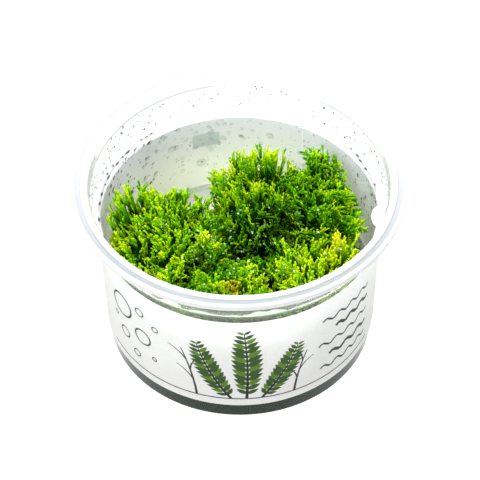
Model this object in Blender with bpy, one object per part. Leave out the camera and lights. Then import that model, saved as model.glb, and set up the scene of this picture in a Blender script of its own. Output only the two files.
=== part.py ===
"""A cup of coral moss from tissue culture: a clear moulded cup, the printed band round it, a bed of gel and
five cushions of moss. Metres, +Z up. The origin is the middle of the resting face. The camera side is -Y."""

import bmesh
import bpy
import math
import random
from mathutils import Matrix, Vector

MM = 0.001
MERGE_DISTANCE = 0.001 * MM
NEARLY_ZERO = 1e-6

# Base colours, and the angles in degrees above which an edge is sharp.
PLASTIC_COLOUR = (0.93, 0.95, 0.95)
FILM_COLOUR = (0.83, 0.84, 0.84)
GEL_COLOUR = (0.62, 0.68, 0.58)
MOSS_COLOUR = (0.17, 0.42, 0.02)
MOULDED_SHARP_ANGLE = 30
MOSS_SHARP_ANGLE = 40

# Cup: the wall leans outwards from the base, steps out at a ledge and ends in a flat flange.
SEGMENTS = 56
CORNER_STEPS = 3
CUP_HEIGHT = 57.5 * MM
BASE_RADIUS = 39.2 * MM
WALL_DRAFT = math.tan(math.radians(1.56))
WALL_THICKNESS = 0.8 * MM
BASE_CORNER = 1.0 * MM
LEDGE_HEIGHT = 46.6 * MM
LEDGE_OUTER_RADIUS = 41.1 * MM
LEDGE_FILLET = 0.4 * MM
LIP_RADIUS = 42.2 * MM
LIP_DROP = 2.1 * MM
FLANGE_INNER_RADIUS = 43.0 * MM
FLANGE_RADIUS = 47.5 * MM
FLANGE_THICKNESS = 0.9 * MM
FLANGE_EDGE_DROP = 1.5 * MM
CHANNEL_INNER_RADIUS = 44.7 * MM
CHANNEL_OUTER_RADIUS = 46.3 * MM
CHANNEL_DEPTH = 0.35 * MM
EDGE_ROUND = 0.25 * MM

# Label: a film band on the tapered wall, with a seam at the back.
LABEL_BOTTOM = 5.9 * MM
LABEL_TOP = 43.2 * MM
LABEL_THICKNESS = 0.2 * MM
LABEL_GAP = 0.25 * MM
LABEL_SEAM_DIRECTION = math.radians(61.5)
LABEL_SEAM_WIDTH = 0.8 * MM

# Gel: a disc on the floor that climbs the wall a little.
GAP = 0.3 * MM
GEL_TOP = 15.0 * MM
GEL_CLIMB = 2.6 * MM
GEL_CLIMB_WIDTH = 3.0 * MM
GEL_BEND_WIDTH = 0.75 * MM
GEL_BEND_RISE = 0.9 * MM

# Moss: each cushion is given by its middle, its half widths along X and Y, and its height.
MOSS_MIDDLE_HEIGHT = 19.0 * MM
MOSS_WALL_GAP = 0.5 * MM
MOSS_CUSHIONS = {
    "moss_left": ((-22.0, -3.0), (23.5, 24.0), 39.8),
    "moss_back": ((7.0, 14.5), (14.5, 15.0), 41.5),
    "moss_right": ((20.0, 12.5), (15.0, 16.0), 42.0),
    "moss_front_right": ((22.0, -16.5), (19.5, 19.0), 38.0),
    "moss_front": ((-1.5, -22.0), (21.0, 20.0), 36.5),
}
DOME_DETAIL = 3
DOME_SQUARENESS = 2.5
UPPER_SHARE = 0.8
LUMP_DEPTH = 0.07
LUMPS_ROUND = 7
LUMP_RINGS = 10
LUMP_TWIST = 3

# Fronds: flat, forked blades that grow out of a cushion. Lengths are measured from the cushion's surface.
FROND_PLACES = 52
FROND_LENGTH = (5.0 * MM, 8.0 * MM)
FROND_THICKNESS = 1.1 * MM
FROND_HALF_WIDTH = 0.9 * MM
FROND_SPREAD = 2.8 * MM
FROND_ROOT = 2.0 * MM
FROND_CLEARANCE = 0.4 * MM
FROND_WIDEST_AT = 0.8
FROND_SIDES_CHECKED = 8
FROND_LOWEST_RISE = 0.25
FROND_UPRIGHTNESS = (0.35, 1.0, 3.0)
FROND_DISORDER = 0.12
MOSS_SEED = 19


def clear_scene():
    for old in list(bpy.data.objects):
        bpy.data.objects.remove(old, do_unlink=True)


def make_material(name, colour, roughness, transmission=0.0):
    material = bpy.data.materials.new(name)
    material.use_nodes = True
    shader = material.node_tree.nodes["Principled BSDF"]
    shader.inputs["Base Color"].default_value = (*colour, 1.0)
    shader.inputs["Roughness"].default_value = roughness
    shader.inputs["Metallic"].default_value = 0.0
    shader.inputs["Transmission Weight"].default_value = transmission
    return material


def make_object(name, shape, material, sharp_angle):
    mesh = bpy.data.meshes.new(name)
    bmesh.ops.recalc_face_normals(shape, faces=shape.faces)
    shape.to_mesh(mesh)
    shape.free()
    mesh.materials.append(material)
    mesh.shade_smooth()
    mesh.set_sharp_from_angle(angle=math.radians(sharp_angle))
    made = bpy.data.objects.new(name, mesh)
    bpy.context.scene.collection.objects.link(made)
    return made


def wall_radius(height):
    """Outer radius of the cup's tapered wall."""
    return BASE_RADIUS + height * WALL_DRAFT


def inner_radius(height):
    """Inner radius of the cup's tapered wall."""
    return wall_radius(height) - WALL_THICKNESS


def arc(middle_r, middle_z, radius, start, end):
    """Points of a corner's arc in the (radius, height) plane, from one angle in degrees to another."""
    points = []
    for step in range(CORNER_STEPS + 1):
        angle = math.radians(start + (end - start) * step / CORNER_STEPS)
        points.append((middle_r + radius * math.cos(angle), middle_z + radius * math.sin(angle)))
    return points


def turned(profile):
    """Closed solid of revolution of a profile that starts and ends on the axis."""
    shape = bmesh.new()
    points = [shape.verts.new((r, 0.0, z)) for r, z in profile]
    edges = [shape.edges.new(pair) for pair in zip(points, points[1:])]
    bmesh.ops.spin(
        shape, geom=points + edges, cent=(0, 0, 0), axis=(0, 0, 1),
        angle=math.tau, steps=SEGMENTS, use_merge=True,
    )
    bmesh.ops.remove_doubles(shape, verts=shape.verts, dist=MERGE_DISTANCE)
    return shape


def cup_profile():
    """From the middle of the resting face round the outside, over the flange and down to the floor."""
    outer_corner_r = wall_radius(BASE_CORNER) - BASE_CORNER
    inner_corner = BASE_CORNER - WALL_THICKNESS
    inner_corner_r = inner_radius(BASE_CORNER) - inner_corner
    step_foot = LEDGE_HEIGHT - WALL_THICKNESS
    step_outer_r = LEDGE_OUTER_RADIUS + WALL_THICKNESS
    lip_outer_r = LIP_RADIUS + WALL_THICKNESS
    lip_foot = CUP_HEIGHT - LIP_DROP
    flange_under = CUP_HEIGHT - FLANGE_THICKNESS
    channel_floor = CUP_HEIGHT - CHANNEL_DEPTH
    ledge_inner_r = inner_radius(LEDGE_HEIGHT)

    outside = [(0.0, 0.0)]
    outside += arc(outer_corner_r, BASE_CORNER, BASE_CORNER, -90, 0)
    outside += [
        (wall_radius(step_foot), step_foot),
        (step_outer_r, LEDGE_HEIGHT),
        (lip_outer_r, flange_under),
        (FLANGE_RADIUS - FLANGE_THICKNESS, flange_under),
        (FLANGE_RADIUS - FLANGE_THICKNESS, CUP_HEIGHT - FLANGE_EDGE_DROP),
        (FLANGE_RADIUS, CUP_HEIGHT - FLANGE_EDGE_DROP),
    ]
    top = [
        (FLANGE_RADIUS, CUP_HEIGHT - EDGE_ROUND),
        (FLANGE_RADIUS - EDGE_ROUND, CUP_HEIGHT),
        (CHANNEL_OUTER_RADIUS, CUP_HEIGHT),
        (CHANNEL_OUTER_RADIUS - CHANNEL_DEPTH, channel_floor),
        (CHANNEL_INNER_RADIUS + CHANNEL_DEPTH, channel_floor),
        (CHANNEL_INNER_RADIUS, CUP_HEIGHT),
        (FLANGE_INNER_RADIUS, CUP_HEIGHT),
        (FLANGE_INNER_RADIUS - EDGE_ROUND, CUP_HEIGHT - EDGE_ROUND),
    ]
    inside = [
        (LIP_RADIUS, lip_foot),
        (LEDGE_OUTER_RADIUS, LEDGE_HEIGHT + LEDGE_FILLET),
        (LEDGE_OUTER_RADIUS - LEDGE_FILLET, LEDGE_HEIGHT),
        (ledge_inner_r + LEDGE_FILLET, LEDGE_HEIGHT),
        (inner_radius(LEDGE_HEIGHT - LEDGE_FILLET), LEDGE_HEIGHT - LEDGE_FILLET),
    ]
    inside += arc(inner_corner_r, BASE_CORNER, inner_corner, 0, -90)
    inside += [(0.0, WALL_THICKNESS)]
    return outside + top + inside


def make_cup():
    clear_plastic = make_material("clear plastic", PLASTIC_COLOUR, roughness=0.12, transmission=0.9)
    make_object("cup", turned(cup_profile()), clear_plastic, MOULDED_SHARP_ANGLE)


def make_label():
    """The band is the section of the film, swept round the wall from one side of the seam to the other."""
    section = [
        (wall_radius(LABEL_BOTTOM) + LABEL_GAP, LABEL_BOTTOM),
        (wall_radius(LABEL_BOTTOM) + LABEL_GAP + LABEL_THICKNESS, LABEL_BOTTOM),
        (wall_radius(LABEL_TOP) + LABEL_GAP + LABEL_THICKNESS, LABEL_TOP),
        (wall_radius(LABEL_TOP) + LABEL_GAP, LABEL_TOP),
    ]
    half_seam = LABEL_SEAM_WIDTH / 2 / wall_radius(LABEL_TOP)
    turn = Matrix.Rotation(LABEL_SEAM_DIRECTION + half_seam, 3, "Z")
    shape = bmesh.new()
    points = [shape.verts.new(turn @ Vector((r, 0.0, z))) for r, z in section]
    end = shape.faces.new(points)
    bmesh.ops.spin(
        shape, geom=[end, *end.edges, *points], cent=(0, 0, 0), axis=(0, 0, 1),
        angle=math.tau - 2 * half_seam, steps=SEGMENTS,
    )
    film = make_material("printed film", FILM_COLOUR, roughness=0.35)
    make_object("label", shape, film, MOULDED_SHARP_ANGLE)


def make_gel():
    floor = WALL_THICKNESS + GAP
    corner = BASE_CORNER - WALL_THICKNESS
    corner_r = inner_radius(BASE_CORNER) - GAP - corner
    climb_top = GEL_TOP + GEL_CLIMB
    edge_r = inner_radius(climb_top) - GAP
    profile = [(0.0, floor)]
    profile += arc(corner_r, floor + corner, corner, -90, 0)
    profile += [
        (edge_r, climb_top),
        (edge_r - GEL_BEND_WIDTH, GEL_TOP + GEL_BEND_RISE),
        (edge_r - GEL_CLIMB_WIDTH, GEL_TOP),
        (0.0, GEL_TOP),
    ]
    gel = make_material("nutrient gel", GEL_COLOUR, roughness=0.2, transmission=0.5)
    make_object("gel", turned(profile), gel, MOULDED_SHARP_ANGLE)


def spread_directions(count, lowest):
    """Directions spread evenly, by the golden angle, over the part of a ball above the given height."""
    golden = math.pi * (3 - math.sqrt(5))
    directions = []
    for index in range(count):
        height = 1 - (1 - lowest) * (index + 0.5) / count
        flat = math.sqrt(1 - height * height)
        directions.append(Vector((flat * math.cos(golden * index), flat * math.sin(golden * index), height)))
    return directions


def reach_of_cone(middle, way, radius_at_zero, slope):
    """How far a ray from a point inside an upright cone goes before it leaves it. The cone's radius at the
    height z is radius_at_zero + slope * z."""
    at_start = radius_at_zero + slope * middle.z
    a = way.x ** 2 + way.y ** 2 - (slope * way.z) ** 2
    b = 2 * (middle.x * way.x + middle.y * way.y - at_start * slope * way.z)
    c = middle.x ** 2 + middle.y ** 2 - at_start ** 2
    if c >= 0:
        return 0.0
    if b * b < 4 * a * c or abs(a) < NEARLY_ZERO:
        return math.inf
    reach = (-b + math.sqrt(b * b - 4 * a * c)) / (2 * a)
    return reach if reach > 0 else math.inf


def reach_of_wall(middle, way):
    """The moss ends a little inside the tapered wall."""
    return reach_of_cone(middle, way, inner_radius(0) - MOSS_WALL_GAP, WALL_DRAFT)


def reach_of_gel(middle, way):
    """The moss stands just above the gel's flat top, and above the slope where the gel climbs the wall."""
    flat = GEL_TOP + GAP
    slope = GEL_CLIMB_WIDTH / GEL_CLIMB
    foot = inner_radius(GEL_TOP + GEL_CLIMB) - GAP - GEL_CLIMB_WIDTH
    over_climb = reach_of_cone(middle, way, foot - flat * slope, slope)
    return min(over_climb, (flat - middle.z) / way.z) if way.z < -NEARLY_ZERO else over_climb


def reach_of_neighbours(name, middle, start, way):
    """How far a ray goes before it meets the upright plane halfway from a cushion's middle to another's."""
    nearest = math.inf
    for other, ((x, y), _, _) in MOSS_CUSHIONS.items():
        if other == name:
            continue
        apart = Vector((x * MM - middle.x, y * MM - middle.y, 0.0))
        across = apart.normalized()
        towards = way.dot(across)
        room = apart.length / 2 - GAP / 2 - (start - middle).dot(across)
        if towards > NEARLY_ZERO:
            nearest = min(nearest, room / towards)
    return nearest


class Cushion:
    """One cushion of moss: a lumpy dome within the wall, the gel and the planes to its neighbours."""

    def __init__(self, name, place, half_widths, top):
        self.name = name
        self.middle = Vector((place[0] * MM, place[1] * MM, MOSS_MIDDLE_HEIGHT))
        self.size = Vector((half_widths[0] * MM, half_widths[1] * MM, top * MM - MOSS_MIDDLE_HEIGHT))

    def limit(self, start, way):
        """How far a ray goes before it leaves the cushion's share of the cup."""
        return min(
            reach_of_wall(start, way), reach_of_gel(start, way),
            reach_of_neighbours(self.name, self.middle, start, way),
        )

    def surface(self, way):
        """How far the dome's surface is from the middle."""
        powers = [abs(way[axis] / self.size[axis]) ** DOME_SQUARENESS for axis in range(3)]
        dome = sum(powers) ** (-1 / DOME_SQUARENESS)
        turn = math.atan2(way.y, way.x)
        tilt = math.acos(max(-1.0, min(1.0, way.z)))
        round_the_dome = math.sin(LUMPS_ROUND * turn + LUMP_TWIST * tilt)
        lump = LUMP_DEPTH * round_the_dome * math.sin(LUMP_RINGS * tilt) * math.sin(tilt)
        return min(dome * (1 + lump), self.limit(self.middle, way))

    def dome(self):
        """Every point is moved along a ray from the middle, so the surface can't cross itself."""
        shape = bmesh.new()
        bmesh.ops.create_icosphere(shape, subdivisions=DOME_DETAIL, radius=1.0)
        for point in shape.verts:
            way = crowded_upwards(point.co.normalized())
            point.co = self.middle + way * self.surface(way)
        return shape

    def has_room(self, foot, way, length):
        """Whether a blade stays clear of the borders of the cushion's share on all sides."""
        widest = foot + way * (FROND_WIDEST_AT * length)
        beside_foot = min(self.limit(foot, side) for side in compass(FROND_SIDES_CHECKED))
        beside_tips = min(self.limit(widest, side) for side in compass(FROND_SIDES_CHECKED))
        beyond = self.limit(foot, way) - length
        return (
            beside_foot > FROND_HALF_WIDTH + FROND_CLEARANCE
            and beside_tips > FROND_SPREAD + FROND_CLEARANCE
            and beyond > FROND_CLEARANCE
        )

    def fronds(self, rng):
        """Blades that fan out from the dome. One with no room is set more upright, or left out."""
        shape = bmesh.new()
        for direction in spread_directions(FROND_PLACES, FROND_LOWEST_RISE):
            shift = Vector((rng.uniform(-1, 1), rng.uniform(-1, 1), rng.uniform(-1, 1)))
            outwards = (direction + FROND_DISORDER * shift).normalized()
            length = rng.uniform(*FROND_LENGTH)
            roll = rng.uniform(0, math.tau)
            foot = self.middle + outwards * self.surface(outwards)
            for uprightness in FROND_UPRIGHTNESS:
                way = (outwards + uprightness * Vector((0, 0, 1))).normalized()
                if self.has_room(foot, way, length):
                    add_frond(shape, foot, way, roll, length)
                    break
        return shape


def compass(count):
    """Level directions, evenly round the circle."""
    turns = [math.tau * index / count for index in range(count)]
    return [Vector((math.cos(turn), math.sin(turn), 0.0)) for turn in turns]


def crowded_upwards(way):
    """Moves directions on a ball so that the upper half holds UPPER_SHARE of them."""
    turning_point = 1 - 2 * UPPER_SHARE
    if way.z >= turning_point:
        height = (way.z - turning_point) / (1 - turning_point)
    else:
        height = (way.z - turning_point) / (1 + turning_point)
    flat = math.sqrt(max(0.0, 1 - height * height))
    turn = math.atan2(way.y, way.x)
    return Vector((flat * math.cos(turn), flat * math.sin(turn), height))


def frond_outline(length):
    """One forked blade in its own plane, as (across, along) points from its left root round its tips."""
    width, spread = FROND_HALF_WIDTH, FROND_SPREAD
    return [
        (-width, -FROND_ROOT),
        (-width, 0.22 * length),
        (-spread, 0.66 * length),
        (-spread * 0.62, 0.82 * length),
        (-width * 0.55, 0.48 * length),
        (-width * 0.8, 0.94 * length),
        (width * 0.3, length),
        (width * 0.6, 0.56 * length),
        (spread * 0.66, 0.9 * length),
        (spread, 0.72 * length),
        (width * 1.1, 0.3 * length),
        (width, -FROND_ROOT),
    ]


def add_frond(shape, foot, way, roll, length):
    """Adds a blade as a closed plate that stands on its foot and points along its way."""
    turn = way.to_track_quat("Y", "Z").to_matrix().to_4x4()
    place = Matrix.Translation(foot) @ turn @ Matrix.Rotation(roll, 4, "Y")
    outline = frond_outline(length)
    front = [shape.verts.new(place @ Vector((u, v, FROND_THICKNESS / 2))) for u, v in outline]
    back = [shape.verts.new(place @ Vector((u, v, -FROND_THICKNESS / 2))) for u, v in outline]
    shape.faces.new(front)
    shape.faces.new(back[::-1])
    for index in range(len(outline)):
        after = (index + 1) % len(outline)
        shape.faces.new((front[after], front[index], back[index], back[after]))


def fuse(target, tool):
    """Joins the tool to the target. The tool itself stays out of the picture."""
    joining = target.modifiers.new("fronds", "BOOLEAN")
    joining.operation = "UNION"
    joining.solver = "EXACT"
    joining.use_self = True
    joining.object = tool
    tool.hide_render = True
    tool.display_type = "WIRE"


def make_moss():
    rng = random.Random(MOSS_SEED)
    for name, (place, half_widths, top) in MOSS_CUSHIONS.items():
        green = make_material(name.replace("_", " "), MOSS_COLOUR, roughness=0.45)
        cushion = Cushion(name, place, half_widths, top)
        dome = make_object(name, cushion.dome(), green, MOSS_SHARP_ANGLE)
        fronds = make_object(name + "_fronds", cushion.fronds(rng), green, MOSS_SHARP_ANGLE)
        fuse(dome, fronds)


clear_scene()
make_cup()
make_label()
make_gel()
make_moss()
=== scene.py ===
"""The looks of a cup of coral moss from tissue culture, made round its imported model.

Metres, +Z up, with the camera on the -Y side. Shapes are worked out in millimetres, and turned into
metres when a piece is made.
"""

import math
import random

import bmesh
import bpy
import numpy as np
from mathutils import Matrix, Vector, noise
from mathutils.bvhtree import BVHTree
from mathutils.geometry import delaunay_2d_cdt


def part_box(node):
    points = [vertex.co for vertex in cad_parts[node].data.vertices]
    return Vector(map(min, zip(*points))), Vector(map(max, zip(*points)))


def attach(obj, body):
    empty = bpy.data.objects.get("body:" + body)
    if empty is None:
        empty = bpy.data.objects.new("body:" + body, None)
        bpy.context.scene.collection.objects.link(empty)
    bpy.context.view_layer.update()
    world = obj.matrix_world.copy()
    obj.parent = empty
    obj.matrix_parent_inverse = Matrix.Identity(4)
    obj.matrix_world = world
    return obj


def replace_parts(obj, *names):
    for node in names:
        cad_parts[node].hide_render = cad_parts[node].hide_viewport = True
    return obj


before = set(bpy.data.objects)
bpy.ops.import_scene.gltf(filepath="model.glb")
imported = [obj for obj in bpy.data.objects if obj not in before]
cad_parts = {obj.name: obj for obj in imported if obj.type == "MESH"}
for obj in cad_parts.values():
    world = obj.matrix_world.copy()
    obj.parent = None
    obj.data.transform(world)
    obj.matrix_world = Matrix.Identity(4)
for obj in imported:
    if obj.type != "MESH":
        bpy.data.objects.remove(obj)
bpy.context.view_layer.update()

MM = 0.001


def in_mm(node):
    """Lowest and highest corner of a CAD node, in millimetres."""
    low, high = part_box(node)
    return np.array(low) / MM, np.array(high) / MM


# Camera: its place, what it looks at and its small roll. The focal length and the picture are in pixels.
CAMERA_DISTANCE = 600.0
CAMERA_ELEVATION = math.radians(47.51)
CAMERA_HEIGHT_OF_AIM = 28.0
CAMERA_FOCAL_LENGTH = 2053.0
CAMERA_ROLL = math.radians(-0.69)
PICTURE_SIDE = 480
PICTURE_MIDDLE = (239.8, 251.0)

# Cup
CUP_TOP = in_mm("cup")[1][2]
FLANGE_RADIUS = in_mm("cup")[1][0]
BASE_RADIUS = 39.2
WALL_SLOPE = math.tan(math.radians(1.56))
WALL_THICKNESS = 0.8
BASE_CORNER = 1.0
LEDGE_HEIGHT = 46.6
LEDGE_OUTER_RADIUS = 41.1
LIP_RADIUS = 42.2
LIP_HEIGHT = CUP_TOP - 2.1
FLANGE_INNER_RADIUS = 43.0
FLANGE_THICKNESS = 0.9
FLANGE_EDGE_DROP = 1.5
CHANNEL_INNER_RADIUS = 44.7
CHANNEL_OUTER_RADIUS = 46.3
CHANNEL_DEPTH = 0.35
SMALL_ROUND = 0.25
FILLET_STEP = math.radians(15)
CUP_SEGMENTS = 240
SHARP_ANGLE = 30
# In a thin band under the lip, apart from a gap, the plastic is painted a blue-grey shade. It is milky on
# the ledge, and it is damp in front, over the label.
LIP_BAND = 0.7
LIP_BAND_GAP = (-8.0, 24.0)
LEDGE_BAND = 0.2
DAMP_BOTTOM = 42.5
DAMP_TOP = 50.5
DAMP_FRONT = -16.0

# Label
LABEL_BOTTOM = in_mm("label")[0][2]
LABEL_TOP = in_mm("label")[1][2]
LABEL_GAP = 0.25
LABEL_THICKNESS = 0.2
LABEL_SEAM = math.radians(61.5)
LABEL_SEAM_WIDTH = 0.12
LABEL_FACET = 2.5
DISC_SIDES = 20
ARCH_STEPS = 14
FILM_TRANSLUCENCE = 0.45

# Gel. It clings to the cup, so its piece reaches well into the plastic and no air shows between them.
GEL_BITE = 0.65
GEL_CLIMB_TOP = in_mm("gel")[1][2]
GEL_TOP = 15.0
GEL_CLIMB_WIDTH = 3.0
GEL_BEND_RISE = 0.9
# The gel's wet top is painted light behind this Y and down to this depth; the rest is painted shade.
GEL_LIT_BEHIND = 8.0
GEL_LIT_DEPTH = 2.0


def wall_radius(height):
    """Outer radius of the cup's tapered wall."""
    return BASE_RADIUS + height * WALL_SLOPE


def inside_radius(height):
    """Inner radius of the cup's tapered wall, and of its upper wall above the ledge."""
    share = (height - LEDGE_HEIGHT) / (LIP_HEIGHT - LEDGE_HEIGHT)
    upper = LEDGE_OUTER_RADIUS + (LIP_RADIUS - LEDGE_OUTER_RADIUS) * share
    return np.where(np.asarray(height) < LEDGE_HEIGHT, wall_radius(height) - WALL_THICKNESS, upper)


def normalised(vectors):
    return vectors / np.linalg.norm(vectors, axis=-1, keepdims=True)


def on_circle(turns, r, z):
    """Points from turns round the axis, radii and heights, which are numbers or arrays that fit together."""
    return np.stack(np.broadcast_arrays(r * np.cos(turns), r * np.sin(turns), z), axis=-1)


# Meshes


def add_object(name, data):
    added = bpy.data.objects.new(name, data)
    bpy.context.scene.collection.objects.link(added)
    return added


def add_piece(name, mesh, materials):
    """Links a mesh as a piece that rides on the cup's only body."""
    for material in materials:
        mesh.materials.append(material)
    piece = add_object(name, mesh)
    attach(piece, "root")
    return piece


def mesh_of(name, points, quads=(), triangles=(), sharp_angle=None):
    """A smooth mesh from arrays of points in millimetres and of the corners of its faces."""
    quads = np.asarray(quads, np.int32).reshape(-1, 4)
    triangles = np.asarray(triangles, np.int32).reshape(-1, 3)
    corners = np.concatenate([quads.ravel(), triangles.ravel()])
    sizes = np.concatenate([np.full(len(quads), 4), np.full(len(triangles), 3)])
    mesh = bpy.data.meshes.new(name)
    mesh.vertices.add(len(points))
    mesh.vertices.foreach_set("co", (np.asarray(points) * MM).astype(np.float32).ravel())
    mesh.loops.add(len(corners))
    mesh.loops.foreach_set("vertex_index", corners.astype(np.int32))
    mesh.polygons.add(len(sizes))
    mesh.polygons.foreach_set("loop_start", (np.cumsum(sizes) - sizes).astype(np.int32))
    mesh.update(calc_edges=True)
    mesh.shade_smooth()
    if sharp_angle is not None:
        mesh.set_sharp_from_angle(angle=math.radians(sharp_angle))
    return mesh


def face_middles(mesh):
    """X, Y and Z of the middle of each face, in millimetres."""
    middles = np.zeros(3 * len(mesh.polygons), np.float32)
    mesh.polygons.foreach_get("center", middles)
    return middles.reshape(-1, 3).T / MM


def points_at_corners(mesh):
    """The point at each corner of each face."""
    ends = np.zeros(len(mesh.loops), np.int32)
    mesh.loops.foreach_get("vertex_index", ends)
    return ends


def choose_materials(mesh, kinds):
    """Gives each face one of the mesh's materials, by its number."""
    mesh.polygons.foreach_set("material_index", np.asarray(kinds, np.int32))


def filleted(corners):
    """A (radius, height) outline from corners given as (radius, height, fillet radius)."""
    outline = []
    for index, (r, z, fillet) in enumerate(corners):
        here = Vector((r, z))
        if fillet == 0:
            outline.append(here)
            continue
        back = (Vector(corners[index - 1][:2]) - here).normalized()
        ahead = (Vector(corners[index + 1][:2]) - here).normalized()
        half_angle = back.angle(ahead) / 2
        middle = here + (back + ahead).normalized() * (fillet / math.sin(half_angle))
        start = here + back * (fillet / math.tan(half_angle)) - middle
        turn = start.angle_signed(here + ahead * (fillet / math.tan(half_angle)) - middle)
        steps = max(2, round(abs(turn) / FILLET_STEP))
        for k in range(steps + 1):
            outline.append(middle + Matrix.Rotation(-turn * k / steps, 2) @ start)
    return np.array(outline)


def closed_rings(rings, sides):
    """Quads between rings of points, and triangles from the end rings to two poles, which are the last two
    points."""
    here = np.arange(rings * sides).reshape(rings, sides)
    beside = np.roll(here, -1, axis=1)
    poles = np.full((2, sides), rings * sides) + [[0], [1]]
    quads = np.stack([here[:-1], beside[:-1], beside[1:], here[1:]], axis=-1).reshape(-1, 4)
    bottom = np.stack([poles[0], beside[0], here[0]], axis=-1)
    top = np.stack([here[-1], beside[-1], poles[1]], axis=-1)
    return quads, np.concatenate([bottom, top])


def turned(name, outline):
    """A solid of revolution whose outline starts and ends on the axis."""
    rings = outline[1:-1]
    turns = np.arange(CUP_SEGMENTS) * math.tau / CUP_SEGMENTS
    wall = on_circle(turns, rings[:, :1], rings[:, 1:]).reshape(-1, 3)
    points = np.concatenate([wall, [[0, 0, outline[0][1]], [0, 0, outline[-1][1]]]])
    return mesh_of(name, points, *closed_rings(len(rings), CUP_SEGMENTS), SHARP_ANGLE)


class Parts:
    """Gathers many small shapes, and a few values at each of their points, for one joined mesh."""

    def __init__(self, *value_names):
        self.points, self.quads, self.triangles = [], [], []
        self.values = {name: [] for name in value_names}
        self.count = 0

    def add(self, points, quads, triangles, **values):
        """Adds copies of one shape. Points are (copies, points, 3), and faces are those of one copy."""
        copies, size = points.shape[:2]
        shift = self.count + np.arange(copies)[:, None, None] * size
        self.quads.append((shift + np.asarray(quads, int).reshape(1, -1, 4)).reshape(-1, 4))
        self.triangles.append((shift + np.asarray(triangles, int).reshape(1, -1, 3)).reshape(-1, 3))
        self.points.append(points.reshape(-1, 3))
        for name, value in values.items():
            self.values[name].append(np.broadcast_to(value, (copies, size)).ravel())
        self.count += copies * size

    def mesh(self, name, sharp_angle=None):
        quads, triangles = np.concatenate(self.quads), np.concatenate(self.triangles)
        return mesh_of(name, np.concatenate(self.points), quads, triangles, sharp_angle)

    def value(self, name):
        return np.concatenate(self.values[name])


# Materials


def new_material(name):
    """A material with a Principled shader. Returns it with its node tree and shader."""
    material = bpy.data.materials.new(name)
    material.use_nodes = True
    return material, material.node_tree, material.node_tree.nodes["Principled BSDF"]


def set_inputs(node, values):
    """Sets a node's inputs to constants, or to the outputs of other nodes."""
    for name, value in values.items():
        if isinstance(value, bpy.types.NodeSocket):
            node.id_data.links.new(value, node.inputs[name])
        else:
            node.inputs[name].default_value = value


def add_node(tree, kind, inputs=None, **settings):
    node = tree.nodes.new(kind)
    for name, value in settings.items():
        setattr(node, name, value)
    set_inputs(node, inputs or {})
    return node


def ramp(tree, factor, stops):
    """A colour ramp through (position, colour) stops."""
    node = add_node(tree, "ShaderNodeValToRGB", {"Fac": factor})
    elements = node.color_ramp.elements
    while len(elements) < len(stops):
        elements.new(1.0)
    for element, (position, colour) in zip(elements, stops):
        element.position = position
        element.color = (*colour, 1.0)
    return node.outputs["Color"]


def spots_of(tree, size, detail=2.0):
    """Noise in the piece's own space, with spots of about the given size in millimetres."""
    place = add_node(tree, "ShaderNodeTexCoord").outputs["Object"]
    inputs = {"Vector": place, "Scale": 1 / (size * MM), "Detail": detail}
    return add_node(tree, "ShaderNodeTexNoise", inputs).outputs["Fac"]


def between(tree, factor, low, high):
    """Stretches a factor from 0 to 1 over a range of values."""
    inputs = {"Value": factor, "To Min": low, "To Max": high}
    return add_node(tree, "ShaderNodeMapRange", inputs).outputs["Result"]


def share_of(tree, value, low, high):
    """Turns a range of values into a factor from 0 to 1."""
    inputs = {"Value": value, "From Min": low, "From Max": high}
    return add_node(tree, "ShaderNodeMapRange", inputs).outputs["Result"]


def share_along(tree, axis, low, high):
    """Goes from 0 to 1 between two places along an axis of the piece, in millimetres."""
    place = add_node(tree, "ShaderNodeTexCoord").outputs["Object"]
    along = add_node(tree, "ShaderNodeSeparateXYZ", {"Vector": place}).outputs[axis]
    return share_of(tree, along, low * MM, high * MM)


def mixed_colour(tree, factor, first, second, blend="MIX"):
    inputs = {0: factor, 6: first, 7: second}
    return add_node(tree, "ShaderNodeMix", inputs, data_type="RGBA", blend_type=blend).outputs[2]


def mixed_shader(tree, factor, first, second):
    return add_node(tree, "ShaderNodeMixShader", {0: factor, 1: first, 2: second}).outputs[0]


def bumpy(tree, shader, height, depth):
    """Raises a shader's surface by a height, whose whole range is the given depth in millimetres."""
    bump = add_node(tree, "ShaderNodeBump", {"Height": height, "Distance": depth * MM})
    set_inputs(shader, {"Normal": bump.outputs["Normal"]})


def show(tree, shader_output):
    set_inputs(tree.nodes["Material Output"], {"Surface": shader_output})


def let_lamps_through(tree, shader, tint):
    """Lets the light of lamps through a clear shader, so that what is behind it isn't in full shadow."""
    clear = add_node(tree, "ShaderNodeBsdfTransparent", {"Color": (*tint, 1.0)}).outputs[0]
    is_shadow_ray = add_node(tree, "ShaderNodeLightPath").outputs["Is Shadow Ray"]
    show(tree, mixed_shader(tree, is_shadow_ray, shader.outputs[0], clear))


def cup_plastic(name, colour, transmission, roughness, back_colour=None):
    """Polypropylene with a slightly uneven gloss. Its colour may run from a darker painted shade in front to
    another colour towards the back.
    """
    material, tree, shader = new_material(name)
    shown = (*colour, 1)
    if back_colour is not None:
        shown = ramp(tree, share_along(tree, "Y", -25, 10), [(0.0, colour), (1.0, back_colour)])
    rough = between(tree, spots_of(tree, 3.0), *roughness)
    set_inputs(shader, {
        "Base Color": shown, "Roughness": rough, "IOR": 1.27, "Transmission Weight": transmission,
    })
    bumpy(tree, shader, spots_of(tree, 6.0, detail=1.0), 0.008)
    let_lamps_through(tree, shader, colour)
    return material


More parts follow.
